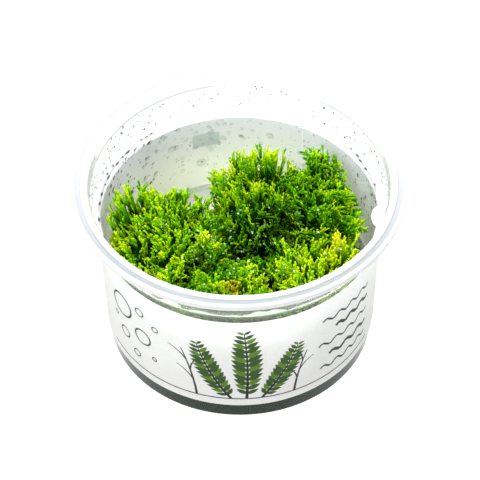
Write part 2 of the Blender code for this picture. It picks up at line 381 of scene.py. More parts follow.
def printed_film(name, colour, painted_light_tints=None):
    """Satin film with ink on it, which lets some of the light behind it through. It may carry painted light:
    a yellow-green cast low down, for light thrown back from the moss, and a grey shade near its upper edge."""
    material, tree, shader = new_material(name)
    grain = spots_of(tree, 0.6)
    shown = ramp(tree, grain, [(0.35, tuple(0.95 * c for c in colour)), (0.65, colour)])
    if painted_light_tints is not None:
        share = share_along(tree, "Z", 0.6 * LABEL_TOP, 0.95 * LABEL_TOP)
        shown = mixed_colour(tree, 1.0, shown, ramp(tree, share, list(enumerate(painted_light_tints))), "MULTIPLY")
    rough = between(tree, grain, 0.3, 0.42)
    set_inputs(shader, {"Base Color": shown, "Roughness": rough, "Specular IOR Level": 0.3})
    bumpy(tree, shader, spots_of(tree, 5.0, detail=1.0), 0.02)
    behind = add_node(tree, "ShaderNodeBsdfTranslucent", {"Color": shown}).outputs[0]
    show(tree, mixed_shader(tree, FILM_TRANSLUCENCE, shader.outputs[0], behind))
    return material


def nutrient_gel(name, darkest, lightest):
    """Cloudy gel."""
    material, tree, shader = new_material(name)
    cloud = spots_of(tree, 4.0, detail=4.0)
    shown = ramp(tree, cloud, [(0.3, darkest), (0.7, lightest)])
    rough = between(tree, cloud, 0.1, 0.25)
    set_inputs(shader, {"Base Color": shown, "Roughness": rough, "Specular IOR Level": 0.05})
    bumpy(tree, shader, cloud, 0.2)
    return material


def water(name, colour, transmission):
    """Water: clear, tinted dark, or painted white, by its colour and how much light passes through it."""
    material, tree, shader = new_material(name)
    rough = between(tree, spots_of(tree, 1.0), 0.0, 0.05)
    set_inputs(shader, {
        "Base Color": (*colour, 1), "Roughness": rough, "IOR": 1.33, "Transmission Weight": transmission,
    })
    let_lamps_through(tree, shader, colour)
    return material


MOSS_GREENS = [
    (0.0, (0.001, 0.004, 0.0005)),
    (0.2, (0.011, 0.06, 0.002)),
    (0.4, (0.05, 0.26, 0.003)),
    (0.6, (0.165, 0.53, 0.004)),
    (0.8, (0.43, 0.8, 0.005)),
    (1.0, (0.74, 0.95, 0.008)),
]
MOSS_AMBERS = [
    (0.0, (0.003, 0.003, 0.0005)),
    (0.3, (0.05, 0.04, 0.002)),
    (0.6, (0.32, 0.26, 0.004)),
    (1.0, (0.9, 0.58, 0.03)),
]


def wet_moss():
    """Moss whose colour follows two values at each point: how light it is painted, painted shade and light
    included, and how amber it has turned.
    """
    material, tree, shader = new_material("wet moss")
    values = [add_node(tree, "ShaderNodeAttribute", attribute_name=name) for name in ("light", "amber")]
    light, amber = (value.outputs["Fac"] for value in values)
    shown = mixed_colour(tree, amber, ramp(tree, light, MOSS_GREENS), ramp(tree, light, MOSS_AMBERS))
    rough = between(tree, light, 0.3, 0.5)
    set_inputs(shader, {"Base Color": shown, "Roughness": rough, "Specular IOR Level": 0.06})
    return material


def light_table():
    """White acrylic that glows a little, so that the cup stands on pure white as in the photograph."""
    material, tree, shader = new_material("light table")
    shown = ramp(tree, spots_of(tree, 40.0), [(0.3, (0.09, 0.09, 0.09)), (0.7, (0.1, 0.1, 0.1))])
    set_inputs(shader, {
        "Base Color": shown, "Roughness": 0.8, "Emission Color": (1, 1, 1, 1), "Emission Strength": 1.1,
    })
    return material


# Cup


def cup_outline():
    """From the middle of the resting face round the outside, over the flange and down to the floor."""
    step_foot = LEDGE_HEIGHT - WALL_THICKNESS
    under = CUP_TOP - FLANGE_THICKNESS
    edge_inside = FLANGE_RADIUS - FLANGE_THICKNESS
    edge_bottom = CUP_TOP - FLANGE_EDGE_DROP
    channel_floor = CUP_TOP - CHANNEL_DEPTH
    floor = WALL_THICKNESS
    lip_foot = LIP_HEIGHT - LIP_BAND
    lip_foot_radius, damp_radius = np.interp(
        [lip_foot, DAMP_TOP], [LEDGE_HEIGHT, LIP_HEIGHT], [LEDGE_OUTER_RADIUS, LIP_RADIUS],
    )
    return filleted([
        (0.0, 0.0, 0),
        (wall_radius(0), 0.0, BASE_CORNER),
        (wall_radius(DAMP_BOTTOM), DAMP_BOTTOM, 0),
        (wall_radius(step_foot), step_foot, SMALL_ROUND),
        (LEDGE_OUTER_RADIUS + WALL_THICKNESS, LEDGE_HEIGHT, SMALL_ROUND),
        (damp_radius + WALL_THICKNESS, DAMP_TOP, 0),
        (LIP_RADIUS + WALL_THICKNESS, under, SMALL_ROUND),
        (edge_inside, under, SMALL_ROUND),
        (edge_inside, edge_bottom, SMALL_ROUND),
        (FLANGE_RADIUS, edge_bottom, SMALL_ROUND),
        (FLANGE_RADIUS, CUP_TOP, SMALL_ROUND),
        (CHANNEL_OUTER_RADIUS, CUP_TOP, SMALL_ROUND),
        (CHANNEL_OUTER_RADIUS - CHANNEL_DEPTH, channel_floor, SMALL_ROUND),
        (CHANNEL_INNER_RADIUS + CHANNEL_DEPTH, channel_floor, SMALL_ROUND),
        (CHANNEL_INNER_RADIUS, CUP_TOP, SMALL_ROUND),
        (FLANGE_INNER_RADIUS, CUP_TOP, SMALL_ROUND),
        (LIP_RADIUS, LIP_HEIGHT, SMALL_ROUND),
        (lip_foot_radius, lip_foot, 0),
        (damp_radius, DAMP_TOP, 0),
        (LEDGE_OUTER_RADIUS, LEDGE_HEIGHT, SMALL_ROUND),
        (wall_radius(LEDGE_HEIGHT) - WALL_THICKNESS, LEDGE_HEIGHT, SMALL_ROUND),
        (wall_radius(DAMP_BOTTOM) - WALL_THICKNESS, DAMP_BOTTOM, 0),
        (wall_radius(0) - WALL_THICKNESS, floor, BASE_CORNER - WALL_THICKNESS),
        (0.0, floor, 0),
    ])


def make_cup():
    """The cup. Its flange is milkier than its wall, because it is thick and its top is matt for sealing. The
    wall is damp in front, over the label. The channel in the flange and a band under the lip are painted a
    blue-grey shade, darkest in front."""
    materials = [
        cup_plastic("clear plastic", (0.97, 0.985, 0.99), 1.0, (0.0, 0.03)),
        cup_plastic("milky plastic", (0.7, 0.7, 0.7), 0.32, (0.1, 0.25)),
        # Painted shade: blue-grey in front, paler towards the back.
        cup_plastic("milky plastic painted with shade", (0.46, 0.5, 0.525), 0.35, (0.1, 0.2), (0.68, 0.68, 0.71)),
        cup_plastic("hazy plastic", (0.95, 0.955, 0.96), 0.8, (0.03, 0.1)),
        cup_plastic("damp plastic", (0.78, 0.81, 0.76), 0.93, (0.05, 0.2)),
    ]
    clear, milky, shade_painted_milky, hazy, damp = range(5)
    mesh = turned("clear_cup", cup_outline())
    x, y, z = face_middles(mesh)
    r = np.hypot(x, y)
    is_flange = (r > FLANGE_INNER_RADIUS) & (z > CUP_TOP - FLANGE_EDGE_DROP - SMALL_ROUND)
    is_channel = is_flange & (r > CHANNEL_INNER_RADIUS) & (r < CHANNEL_OUTER_RADIUS)
    is_channel &= z > CUP_TOP - 2 * CHANNEL_DEPTH
    is_lip = (np.abs(z - (LIP_HEIGHT - LIP_BAND / 2)) < LIP_BAND / 2) & (r < LIP_RADIUS)
    is_lip &= (y > DAMP_FRONT) & ((x < LIP_BAND_GAP[0]) | (x > LIP_BAND_GAP[1]))
    is_damp = (z > DAMP_BOTTOM) & (z < DAMP_TOP) & (y < DAMP_FRONT)
    is_upper = z > LEDGE_HEIGHT - WALL_THICKNESS - SMALL_ROUND
    is_ledge = (np.abs(z - LEDGE_HEIGHT) < LEDGE_BAND) & ~is_damp
    # The channel and the band under the lip get the plastic painted with a blue-grey shade.
    regions = [is_channel | is_lip, is_flange | is_ledge, is_damp, is_upper]
    choose_materials(mesh, np.select(regions, [shade_painted_milky, milky, damp, hazy], clear))
    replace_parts(add_piece("clear_cup", mesh, materials), "cup")


def make_gel():
    """The bed of gel. It is painted dark, as the shade that the moss casts on it, and its wet top at the back
    is painted light.
    """
    floor = WALL_THICKNESS - GEL_BITE
    edge = wall_radius(GEL_CLIMB_TOP) - WALL_THICKNESS + GEL_BITE
    inside = edge - GEL_BITE
    outline = filleted([
        (0.0, floor, 0),
        (wall_radius(0) - floor, floor, BASE_CORNER - floor),
        (edge, GEL_CLIMB_TOP - GEL_BITE, 0),
        (inside, GEL_CLIMB_TOP, 0),
        (inside - GEL_CLIMB_WIDTH / 4, GEL_TOP + GEL_BEND_RISE, SMALL_ROUND),
        (inside - GEL_CLIMB_WIDTH, GEL_TOP, SMALL_ROUND),
        (0.0, GEL_TOP, 0),
    ])
    mesh = turned("gel_bed", outline)
    _, y, z = face_middles(mesh)
    # Painted light on the gel's wet top at the back, and painted shade on the rest.
    choose_materials(mesh, (z > GEL_TOP - GEL_LIT_DEPTH) & (y > GEL_LIT_BEHIND))
    materials = [
        nutrient_gel("shaded gel", (0.001, 0.009, 0.003), (0.003, 0.022, 0.01)),
        nutrient_gel("lit gel", (0.9, 0.93, 0.86), (0.97, 0.98, 0.94)),
    ]
    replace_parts(add_piece("gel_bed", mesh, materials), "gel")


# Label. Its print is drawn flat: u runs to the right along the film from the middle of its front, and v is
# the height.


def wrapped(flat, radius_offset):
    """Points of the tapered wall for (u, v) points, the given distance outside it."""
    u, v = np.asarray(flat, float).T
    turns = u / wall_radius((LABEL_BOTTOM + LABEL_TOP) / 2) - math.pi / 2
    return on_circle(turns, wall_radius(v) + radius_offset, v)


def stroke(path, width, tip_width=None):
    """The outline of a line of ink along a path."""
    path = np.asarray(path, float)
    widths = np.linspace(width, width if tip_width is None else tip_width, len(path))[:, None]
    ways = np.gradient(path, axis=0)
    across = normalised(np.stack([-ways[:, 1], ways[:, 0]], axis=-1))
    return np.concatenate([path + across * widths / 2, (path - across * widths / 2)[::-1]])


def leaf(base, heading, length, width):
    """The outline of a pointed leaf, from its base."""
    along = np.array([math.cos(heading), math.sin(heading)])
    across = np.array([-along[1], along[0]])
    shares = np.linspace(0, 1, 7)
    midrib = np.asarray(base) + np.outer(shares * length, along)
    bulge = np.outer(width / 2 * np.sin(math.pi * shares ** 0.8), across)
    return np.concatenate([midrib + bulge, (midrib - bulge)[-2:0:-1]])


def disc(middle, radius):
    turns = np.arange(DISC_SIDES) * math.tau / DISC_SIDES
    return np.asarray(middle) + on_circle(turns, radius, 0)[:, :2]


def wave(left, height, length, lift, waves):
    """A gently waving path."""
    share = np.linspace(0, 1, 6 * waves + 1)
    return np.stack([left + share * length, height + lift * np.sin(share * waves * math.tau)], axis=-1)


def arch(base, heading, length, bend):
    """A path that leaves its base at a heading and bends evenly."""
    point, path = np.array(base, float), []
    for step in range(ARCH_STEPS + 1):
        path.append(point)
        turn = heading + bend * step / ARCH_STEPS
        point = point + length / ARCH_STEPS * np.array([math.cos(turn), math.sin(turn)])
    return np.array(path)


def fern(base, heading, length, bend, leaf_length):
    """A fern's outlines as (ink, outline) pairs: pairs of leaves, and then the stem on top of them."""
    path = arch(base, heading, length, bend)
    outlines = []
    for step in range(1, len(path)):
        way = path[step] - path[step - 1]
        turn = math.atan2(way[1], way[0])
        share = step / (len(path) - 1)
        size = leaf_length * math.sin(math.pi * (0.15 + 0.75 * share)) ** 0.7
        for side in (1, -1):
            ink = "light green ink" if (step + (side > 0)) % 3 == 0 else "green ink"
            outlines.append((ink, leaf(path[step], turn + side * 0.95, size, size * 0.42)))
    outlines.append(("dark green ink", stroke(path, 0.9, 0.3)))
    return outlines


def reed(base, heading, length, bend):
    """A reed in line work: one stem with three narrow leaves."""
    path = arch(base, heading, length, bend)
    outlines = [("dark ink", stroke(path, 0.75, 0.3))]
    for step, side in ((4, 1), (7, -1), (10, 1)):
        way = path[step] - path[step - 1]
        start = path[step] + way * 0.3
        turn = math.atan2(way[1], way[0]) + side * 0.25
        outlines.append(("dark ink", stroke(arch(start, turn, length * 0.38, side * 0.75), 0.5, 0.25)))
    return outlines


def front_print():
    """A plain design of bubbles, ferns, reeds and waves over a thin line."""
    up = math.pi / 2
    ground = 9.2
    outlines = [("dark ink", stroke([(-46.0, 9.0), (46.0, 9.0)], 0.45))]
    for u, v, radius in (
        (-39.0, 31.0, 4.6), (-30.5, 24.0, 3.2), (-38.5, 19.5, 2.2), (-31.0, 34.5, 1.7), (-33.5, 14.5, 1.5),
        (-25.5, 31.0, 1.2), (-26.5, 17.0, 0.9), (-42.5, 24.5, 0.9),
    ):
        outlines.append(("dark ink", disc((u, v), radius)))
        outlines.append(("white film", disc((u, v), radius - 0.3 - 0.08 * radius)))
    outlines += reed((-13.0, ground), up + 0.1, 20.0, 0.25)
    outlines += fern((-3.0, ground), up + 0.55, 25.0, -0.35, 5.0)
    outlines += fern((1.5, ground), up - 0.05, 29.0, 0.15, 5.6)
    outlines += fern((6.0, ground), up - 0.6, 23.0, 0.3, 4.8)
    outlines += reed((15.5, ground), up - 0.1, 17.0, -0.25)
    for left, height, length, width in (
        (24.0, 34.5, 20.0, 0.7), (29.0, 29.5, 15.0, 1.2), (23.0, 24.0, 21.0, 0.7), (27.0, 18.5, 17.0, 1.2),
        (24.0, 13.5, 20.0, 0.7),
    ):
        outlines.append(("dark ink", stroke(wave(left, height, length, 0.8, round(length / 5)), width)))
    return outlines


def back_print():
    """A small plain panel on the back of the band."""
    u, width, low, high = -115.4, 8.4, 32.9, 38.1
    panel = [(u - width / 2, low), (u + width / 2, low), (u + width / 2, high), (u - width / 2, high)]
    return [("grey green ink", np.array(panel))]


INKS = {
    "white film": (0.94, 0.94, 0.95),
    "dark ink": (0.035, 0.036, 0.038),
    "green ink": (0.04, 0.11, 0.015),
    "light green ink": (0.12, 0.26, 0.02),
    "dark green ink": (0.02, 0.04, 0.01),
    "grey green ink": (0.78, 0.83, 0.8),
    "film back": (0.95, 0.97, 0.94),
    "film back show-through": (0.64, 0.7, 0.66),
}
# The back of the film is painted with light: a yellow-green cast from the moss low down, a grey shade high
# up.
FILM_BACK_BOUNCE_AND_SHADE = [(1.0, 1.0, 0.86), (0.8, 0.79, 0.82)]


def printed_side(edge, outlines, plain):
    """Cuts the flat film along the outlines of its print. Its lower and upper edges have points at the given
    values of u. Returns the points, the triangles, and the ink of each triangle or the plain film's name."""
    facets = len(edge) - 1
    points = [Vector((u, v)) for v in (LABEL_BOTTOM, LABEL_TOP) for u in edge]
    edges = [(k, k + facets + 1) for k in range(facets + 1)]
    edges += [(k, k + 1) for k in range(facets)] + [(k + facets + 1, k + facets + 2) for k in range(facets)]
    faces = []
    for _, outline in outlines:
        ahead = np.roll(outline, -1, axis=0)
        twice_area = np.sum(outline[:, 0] * ahead[:, 1] - ahead[:, 0] * outline[:, 1])
        faces.append(list(range(len(points), len(points) + len(outline))))
        points += [Vector(p) for p in (outline if twice_area > 0 else outline[::-1])]
    made, _, cut, _, _, sources = delaunay_2d_cdt(points, edges, faces, 0, 1e-4)
    inks = [outlines[max(source)][0] if source else plain for source in sources]
    return np.array(made), np.array(cut), inks


def make_label():
    """One closed film: its printed outer side, its inner side and its four edges."""
    radius = wall_radius((LABEL_BOTTOM + LABEL_TOP) / 2)
    seam = (LABEL_SEAM + math.pi / 2) * radius
    right = seam - LABEL_SEAM_WIDTH / 2
    left = seam + LABEL_SEAM_WIDTH / 2 - math.tau * radius
    edge = np.linspace(left, right, round((right - left) / LABEL_FACET) + 1)
    outside, outer_faces, inks = printed_side(edge, front_print() + back_print(), "white film")
    show_through = [("film back show-through", outline) for _, outline in back_print()]
    inside, inner_faces, shows = printed_side(edge, show_through, "film back")
    points = np.concatenate([wrapped(outside, LABEL_GAP + LABEL_THICKNESS), wrapped(inside, LABEL_GAP)])
    triangles = np.concatenate([outer_faces, inner_faces[:, ::-1] + len(outside)])

    bottom = np.arange(len(edge))
    border = np.concatenate([bottom, bottom[::-1] + len(edge)])
    after = np.roll(border, -1)
    rim = np.stack([border, border + len(outside), after + len(outside), after], axis=-1)
    mesh = mesh_of("printed_label", points, rim, triangles, SHARP_ANGLE)
    names = list(INKS)
    choose_materials(mesh, [0] * len(rim) + [names.index(ink) for ink in inks + shows])
    painted_light_tints = {"film back": FILM_BACK_BOUNCE_AND_SHADE}
    materials = [printed_film(name, colour, painted_light_tints.get(name)) for name, colour in INKS.items()]
    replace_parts(add_piece("printed_label", mesh, materials), "label")


# Moss


class Frond:
    """The ribbons of one frond, in its own space: it grows along +Y, and its flat side faces +Z."""

    def __init__(self, style, rng):
        self.style = style
        self.rng = rng
        self.points, self.tip, self.shade = [], [], []
        self.quads, self.triangles = [], []
        self.grow(Vector((0, 0, 0)), Vector((0, 1, 0)), Vector((0, 0, 1)), style["length"], style["width"], 0)

    def ribbon(self, path, normals, widths, first_tip):
        """A ribbon with a ridge, in three-cornered rings along the path, and a point at its blunt end."""
        first = len(self.points)
        rings = len(path) - 1
        shade = self.rng.gauss(0, 0.07)
        for index in range(rings):
            way = (path[index + 1] - path[index]).normalized()
            side = way.cross(normals[index]).normalized()
            flat = side.cross(way)
            half, thin = widths[index] / 2, self.style["thickness"] * 0.4
            self.points += [path[index] + side * half - flat * thin * 0.5, path[index] + flat * thin]
            self.points.append(path[index] - side * half - flat * thin * 0.5)
            self.tip += [first_tip + (1 - first_tip) * index / rings] * 3
            if index:
                ring = first + 3 * index
                for k in range(3):
                    after = (k + 1) % 3
                    self.quads.append((ring - 3 + k, ring - 3 + after, ring + after, ring + k))
        self.triangles.append((first + 2, first + 1, first))
        self.points.append(path[-1])
        self.tip.append(1.0)
        self.shade += [shade] * (3 * rings + 1)
        last, tip = len(self.points) - 4, len(self.points) - 1
        for k in range(3):
            self.triangles.append((last + k, last + (k + 1) % 3, tip))

    def grow(self, start, way, normal, length, width, level, aim=None):
        """A branch that wanders a little, with shorter branches on alternate sides and lobes at its end."""
        rng = self.rng
        shares = self.style["rings"][level]
        path, ways, normals = [start], [way], [normal]
        for share, after in zip(shares, shares[1:]):
            turn = Matrix.Rotation(rng.gauss(0, 0.1), 3, normal)
            tilt = Matrix.Rotation(rng.gauss(0, 0.1), 3, way.cross(normal))
            way = turn @ tilt @ way
            if aim is not None:
                way = way.lerp(aim, self.style["gathers"])
            way.normalize()
            normal = (normal - way * normal.dot(way)).normalized()
            path.append(path[-1] + way * length * (after - share))
            ways.append(way)
            normals.append(normal)
        swell = [0.8 + 0.35 * share for share in shares]
        swell[-2] = 0.9
        self.ribbon(path, normals, [width * s for s in swell], FIRST_TIPS[level])
        if level < 2:
            self.branch_off(path, ways, normals, shares, length, width, level)

    def branch_off(self, path, ways, normals, shares, length, width, level):
        """Branches along a stem, or lobes along a branch."""
        rng, style = self.rng, self.style
        count = style["lobes" if level else "branches"]
        first = FIRST_LOBE if level else style["first_branch"]
        side = rng.choice((1, -1))
        for k in range(count):
            share = first + (LAST_BRANCH - first) * (k + 0.5 + rng.uniform(-0.25, 0.25)) / count
            place = next(i for i in range(1, len(shares)) if shares[i] >= share)
            along = (share - shares[place - 1]) / (shares[place] - shares[place - 1])
            start = path[place - 1].lerp(path[place], along)
            normal = normals[place]
            leaning = Matrix.Rotation(side * rng.uniform(*style["angle"]), 3, normal) @ ways[place]
            tilt = Matrix.Rotation(rng.gauss(0, style["twist"]), 3, ways[place])
            size = style["lobe"] if level else length * (style["shortest"] + style["extra"] * (1 - share))
            size *= rng.uniform(0.75, 1.25)
            self.grow(start, tilt @ leaning, tilt @ normal, size, width * 0.9, level + 1, ways[place])
            side = -side


# How a frond grows: its stem's size, its counts of branches and of lobes on each, the first branch's place,
# the places of the rings of points on a stem, a branch and a lobe, as shares of its length, how far branches
# twist, lean and turn back to the stem, the least length of a branch and what those near the foot gain, as
# shares of the stem's length, and a lobe's length.
STYLES = {
    "fingers": {
        "length": 10.0, "width": 0.95, "thickness": 0.45, "branches": 6, "lobes": 2, "first_branch": 0.3,
        "rings": ([0, 0.3, 0.55, 0.8, 0.92, 0.975, 1.0], [0, 0.5, 0.82, 0.95, 1.0], [0, 0.5, 0.85, 1.0]),
        "twist": 0.3, "angle": (0.4, 0.7), "gathers": 0.45, "shortest": 0.2, "extra": 0.24, "lobe": 1.3,
    },
    "feathers": {
        "length": 12.0, "width": 0.85, "thickness": 0.4, "branches": 8, "lobes": 2, "first_branch": 0.25,
        "rings": ([0, 0.3, 0.55, 0.8, 0.92, 0.98, 1.0], [0, 0.4, 0.75, 0.95, 1.0], [0, 0.5, 0.85, 1.0]),
        "twist": 0.35, "angle": (0.45, 0.8), "gathers": 0.38, "shortest": 0.18, "extra": 0.34, "lobe": 1.4,
    },
    "lobes": {
        "length": 9.0, "width": 1.0, "thickness": 0.45, "branches": 6, "lobes": 3, "first_branch": 0.3,
        "rings": ([0, 0.3, 0.55, 0.8, 0.92, 0.97, 1.0], [0, 0.5, 0.82, 0.94, 1.0], [0, 0.5, 0.85, 1.0]),
        "twist": 0.4, "angle": (0.55, 1.05), "gathers": 0.2, "shortest": 0.22, "extra": 0.18, "lobe": 1.4,
    },
}
TEMPLATES_PER_STYLE = 16
# Where lobes begin on a branch, where the last branch or lobe is, and how light a stem, a branch and a lobe
# start, from 0 for the moss's depth to 1 for a tip.
FIRST_LOBE = 0.45
LAST_BRANCH = 0.93
FIRST_TIPS = (0.0, 0.15, 0.5)

# How each cushion grows: its style, its count of fronds, how upright they are, their lean and lightness.
CUSHIONS = {
    "moss_left": ("fingers", 440, 1.0, (-0.15, 0.05), 0.07),
    "moss_back": ("feathers", 310, 0.8, (-0.2, 0.0), 0.18),
    "moss_right": ("lobes", 330, 0.7, (0.1, 0.0), 0.02),
    "moss_front_right": ("fingers", 370, 1.1, (0.0, 0.0), 0.08),
    "moss_front": ("lobes", 370, 0.8, (0.0, 0.0), -0.02),
}
# The moss's outline against the back wall, as places of tips from left to right.
SKYLINE = {
    "moss_left": [
        (-38.0, 3.0, 43.0), (-37.0, 7.0, 42.0), (-35.0, 11.0, 42.0), (-32.5, 13.0, 41.5),
        (-30.0, 14.0, 42.0), (-27.5, 14.0, 42.0), (-25.5, 14.0, 39.8), (-23.0, 14.0, 40.4),
        (-20.5, 14.0, 39.3), (-18.5, 14.5, 37.5), (-16.0, 15.0, 37.3), (-14.0, 15.5, 35.5),
        (-11.5, 16.0, 35.5), (-9.5, 17.0, 34.5),
    ],
    "moss_back": [
        (-8.0, 22.0, 37.5), (-6.0, 22.5, 40.0), (-3.5, 23.5, 40.6), (-0.5, 24.0, 41.5), (1.5, 24.0, 45.2),
        (5.0, 25.0, 43.8), (8.0, 25.0, 44.0), (9.5, 25.0, 45.7), (12.0, 25.0, 43.0), (14.5, 25.0, 41.0),
        (17.0, 25.0, 39.0),
    ],
    "moss_right": [
        (20.0, 23.0, 40.0), (22.4, 22.0, 45.6), (24.0, 22.0, 47.2), (26.0, 22.0, 44.3), (28.5, 21.0, 42.8),
        (30.5, 18.0, 40.0), (32.0, 13.0, 37.0), (34.0, 7.0, 37.0), (36.0, 3.0, 36.0),
    ],
}
SKYLINE_STEP = 1.1
SKYLINE_DEPTH = 3.5
# Tips of sprigs that stand out in front of it.
SPRIGS = {
    "moss_left": [(-7.5, 8.0, 36.0), (-10.0, 11.0, 36.0)],
    "moss_front_right": [(30.0, -9.0, 42.0), (34.0, -11.0, 38.0), (12.0, -12.0, 40.0)],
    "moss_front": [(-8.0, -6.0, 42.0), (-20.0, -19.0, 40.0), (-9.0, -8.0, 41.0)],
}
SPRIG_FRONDS = 4
SPRIG_SPREAD = (1.7, 2.2, 1.6)
# Places in plan, with a radius and an amount, that are lighter or darker than the rest: the darker ones are
# painted shade in the valleys, the lighter ones lighter moss with painted light on it. Then amber ones.
LIGHT_AND_SHADE_PLACES = [
    (-7.9, -5.9, 3.5, 0.42), (-20.0, -19.4, 4.0, 0.15), (6.0, -17.0, 4.0, 0.22), (13.6, -17.0, 4.0, 0.2),
    (29.0, -12.0, 8.0, 0.32), (-35.0, -2.3, 5.0, 0.15), (2.0, 18.0, 8.0, 0.12), (-28.0, 11.0, 9.0, 0.07),
    (-15.0, 3.0, 7.0, -0.17), (3.0, 2.0, 9.0, -0.22), (14.0, 6.0, 7.0, -0.25), (-6.0, -13.0, 5.0, -0.2),
    (9.0, -7.0, 6.0, -0.2), (20.0, 10.0, 6.0, -0.12),
]
AMBER_PLACES = [
    (-2.1, -21.0, 2.5, 0.9), (27.1, -7.9, 2.8, 0.4), (14.0, 4.0, 4.0, 0.3), (-14.0, 4.0, 4.0, 0.25),
    (-7.9, -5.9, 3.5, 0.15), (8.0, -17.0, 5.0, 0.12), (29.0, -12.0, 7.0, 0.06),
]
# The moss's front slope, which the cup's rim shades, is darker.
FRONT_SHADE = 0.45
FRONT_SHADE_START = -26.5
# Rays from a cushion's middle, which lies this far above its foot, find the CAD dome.
DOME_MIDDLE = 4
DOME_RAYS = 5
RAY_SPREAD = 0.06
# The dark core, painted shade deep in the cushion, is made of points at these shares of the way to the dome.
CORE_SHARES = (0.6, 0.8)
CORE_LIGHT = 0.9
# Where fronds end against the dome, how low they go, their sizes, and how far under the dome's middle they
# all seem to start when they are fully upright.
OVERSHOOT = (-3.5, 1.0)
LOWEST_FROND = 0.2
FROND_SIZE = (0.8, 1.2)
OUTLINE_FROND_SIZE = (0.9, 1.1)
ROOT_DEPTH = 16.0
# How unevenly fronds lean, with their neighbours over the given size and each on its own, how unevenly they
# face outwards, and how much they bend.
WANDER = 0.3
WANDER_SIZE = 7.0
LEAN_SCATTER = 0.12
FACING_SCATTER = 0.5
BENDING = 0.012
# Fronds keep clear of the wall by this much to twice as much. They bend over the given width before it.
WALL_CLEARANCE = 0.5
WALL_SOFTNESS = 2.5
MOSS_FLOOR = GEL_TOP + 0.6
# The moss is painted darker over this depth under its tips, for its darker lower parts and for the shade
# deep in the cushion. How light the deep moss is painted, and what a blade and a tip add.
DEPTH_SHOWN = 7.5
DEEP_LIGHT = 0.05
BLADE_LIGHT = 0.47
TIP_LIGHT = 0.42
UV_STEP = 0.004
# Without a seed, noise_vector differs each time that Blender starts.
NOISE_SEED = 4
FIRST_STYLE_SEED = 100
FIRST_CUSHION_SEED = 7


def spread_directions(count, lowest):
    """Directions spread evenly, by the golden angle, over the part of a ball above the given height."""
    golden = math.pi * (3 - math.sqrt(5))
    index = np.arange(count)
    height = 1 - (1 - lowest) * (index + 0.5) / count
    return on_circle(golden * index, np.sqrt(1 - height ** 2), height)


def tree_of(mesh):
    return BVHTree.FromPolygons([v.co for v in mesh.vertices], [p.vertices for p in mesh.polygons])


def dome_reach(tree, middle, directions, rng):
    """How far the CAD dome is from its middle. The least of a few rays keeps clear of its blades."""
    reach = []
    for direction in directions:
        found = []
        for _ in range(DOME_RAYS):
            way = Vector(direction) + Vector([rng.gauss(0, RAY_SPREAD) for _ in range(3)])
            hit = tree.ray_cast(Vector(middle) * MM, way.normalized())
            if hit[0] is not None:
                found.append(hit[3] / MM)
        reach.append(min(found))
    return np.array(reach)


def pressed_inside(points, chance):
    """Presses points that would pass the cup's wall or the gel back inside, as the real fronds bend there."""
    points = points.copy()
    clearance = WALL_CLEARANCE * (1 + chance.random(len(points)))[:, None]
    r = np.hypot(points[..., 0], points[..., 1])
    limit = np.minimum(wall_radius(points[..., 2]), wall_radius(LEDGE_HEIGHT)) - WALL_THICKNESS - clearance
    start = limit - WALL_SOFTNESS
    over = np.maximum(r - start, 0)
    eased = start + WALL_SOFTNESS * (1 - np.exp(-over / WALL_SOFTNESS))
    points[..., :2] *= np.where(over > 0, eased / np.maximum(r, 1e-6), 1)[..., None]
    points[..., 2] = np.maximum(points[..., 2], MOSS_FLOOR)
    return points


def place_value(points, places):
    """Sum of soft round spots at the given plan places."""
    value = np.zeros(points.shape[:-1])
    for x, y, radius, amount in places:
        distance = np.hypot(points[..., 0] - x, points[..., 1] - y)
        value += amount * np.exp(-(distance / radius) ** 2)
    return value


def wander(points, size, seed):
    """A smooth random vector at each point, with features of about the given size."""
    shift = Vector((seed * 17.3, seed * 5.1, 0))
    return np.array([noise.noise_vector(Vector(p) / size + shift) for p in points])


def shade_core(parts, tree, middle, rng):
    """The dark, rough body of the cushion, inside the CAD dome, painted near black as the shade deep in it.
    """
    shape = bmesh.new()
    bmesh.ops.create_icosphere(shape, subdivisions=4, radius=1.0)
    directions = np.array([v.co for v in shape.verts])
    faces = np.array([[v.index for v in face.verts] for face in shape.faces])
    shape.free()
    shares = np.array([rng.uniform(*CORE_SHARES) for _ in directions])
    points = middle + directions * (dome_reach(tree, middle, directions, rng) * shares)[:, None]
    light = CORE_LIGHT * (shares - CORE_SHARES[0])
    parts.add(points[None], [], faces, light=light, amber=0.0, corner=np.arange(len(points)) % 3)


def seen_height(points):
    """How high up the photograph points lie, in millimetres at the cup's distance."""
    return points[:, 1] * math.sin(CAMERA_ELEVATION) + points[:, 2] * math.cos(CAMERA_ELEVATION)


def skyline_tips(node, chance):
    """Tips along the cushion's share of the outline, a little uneven and none above it."""
    corners = np.array(SKYLINE[node])
    along = np.cumsum([0, *np.linalg.norm(np.diff(corners, axis=0), axis=1)])
    at = np.arange(0, along[-1], SKYLINE_STEP)
    tips = np.stack([np.interp(at, along, corners[:, axis]) for axis in range(3)], axis=-1)
    return tips - chance.random((len(tips), 1)) ** 2 * SKYLINE_DEPTH * [0, 0.5, 1]


def sprig_tips(node, chance):
    """Tips in clusters round the given places."""
    tips = np.repeat(np.array(SPRIGS[node]), SPRIG_FRONDS, axis=0)
    shift = chance.normal(0, 1, tips.shape) * SPRIG_SPREAD
    return tips + shift * [1, 1, 0] - np.abs(shift) * [0, 0, 1]


def below_skyline(tips):
    """Lowers tips that would stand above the outline."""
    corners = np.concatenate([np.array(line) for line in SKYLINE.values()])
    over = seen_height(tips) - np.interp(tips[:, 0], corners[:, 0], seen_height(corners))
    return tips - np.maximum(over, 0)[:, None] / math.cos(CAMERA_ELEVATION) * [0, 0, 1]


